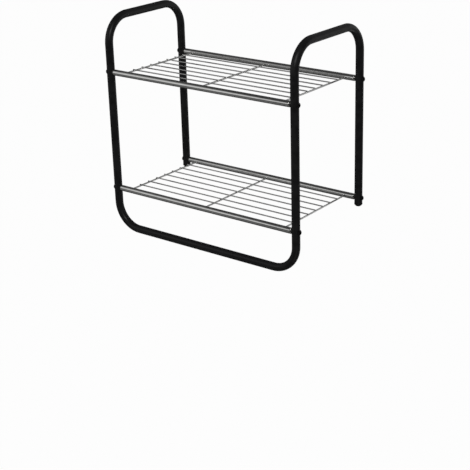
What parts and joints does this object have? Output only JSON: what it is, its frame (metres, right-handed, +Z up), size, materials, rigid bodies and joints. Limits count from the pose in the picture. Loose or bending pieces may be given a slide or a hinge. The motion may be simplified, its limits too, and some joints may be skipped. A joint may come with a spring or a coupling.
{
  "type": "towel rack with shelf",
  "caption": "Wall-hung towel rack: bent-tube side hoops carry wire-grid shelves on chrome tubes, above a U-shaped towel bar that plugs into the front legs.",
  "frame": {"origin": "on the wall plane, midway between the entries of the keyholes in the rear legs", "axes": "+X to the right along the shelves as seen from the room, +Y into the wall, +Z up"},
  "size_m": [0.4662, 0.2345, 0.449],
  "materials": {
    "frame_powder_coat": "satin black powder coat on steel tube",
    "shelf_chrome": "polished chrome plate on steel tube and wire",
    "nickel_insert": "turned and bright nickel plated",
    "black_plastic": "moulded black plastic, fine matt",
    "black_screw": "black zinc-plated steel"
  },
  "bodies": {
    "root": {"left_rear_leg_cap": "black_plastic", "left_side_hoop": "frame_powder_coat", "lower_left_front_saddle": "black_plastic", "lower_left_front_tube_insert": "nickel_insert", "lower_left_rear_saddle": "black_plastic", "lower_left_rear_tube_insert": "nickel_insert", "lower_right_front_saddle": "black_plastic", "lower_right_front_tube_insert": "nickel_insert", "lower_right_rear_saddle": "black_plastic", "lower_right_rear_tube_insert": "nickel_insert", "lower_shelf_cross_wire_left": "shelf_chrome", "lower_shelf_cross_wire_middle": "shelf_chrome", "lower_shelf_cross_wire_right": "shelf_chrome", "lower_shelf_front_tube": "shelf_chrome", "lower_shelf_rear_tube": "shelf_chrome", "lower_shelf_wire_1": "shelf_chrome", "lower_shelf_wire_2": "shelf_chrome", "lower_shelf_wire_3": "shelf_chrome", "lower_shelf_wire_4": "shelf_chrome", "lower_shelf_wire_5": "shelf_chrome", "lower_shelf_wire_6": "shelf_chrome", "lower_shelf_wire_7": "shelf_chrome", "lower_shelf_wire_8": "shelf_chrome", "lower_shelf_wire_9": "shelf_chrome", "right_rear_leg_cap": "black_plastic", "right_side_hoop": "frame_powder_coat", "shelf_screws": "black_screw", "towel_bar": "frame_powder_coat", "upper_left_front_saddle": "black_plastic", "upper_left_front_tube_insert": "nickel_insert", "upper_left_rear_saddle": "black_plastic", "upper_left_rear_tube_insert": "nickel_insert", "upper_right_front_saddle": "black_plastic", "upper_right_front_tube_insert": "nickel_insert", "upper_right_rear_saddle": "black_plastic", "upper_right_rear_tube_insert": "nickel_insert", "upper_shelf_cross_wire_left": "shelf_chrome", "upper_shelf_cross_wire_middle": "shelf_chrome", "upper_shelf_cross_wire_right": "shelf_chrome", "upper_shelf_front_tube": "shelf_chrome", "upper_shelf_rear_tube": "shelf_chrome", "upper_shelf_wire_1": "shelf_chrome", "upper_shelf_wire_2": "shelf_chrome", "upper_shelf_wire_3": "shelf_chrome", "upper_shelf_wire_4": "shelf_chrome", "upper_shelf_wire_5": "shelf_chrome", "upper_shelf_wire_6": "shelf_chrome", "upper_shelf_wire_7": "shelf_chrome", "upper_shelf_wire_8": "shelf_chrome", "upper_shelf_wire_9": "shelf_chrome"}
  },
  "joints": []
}
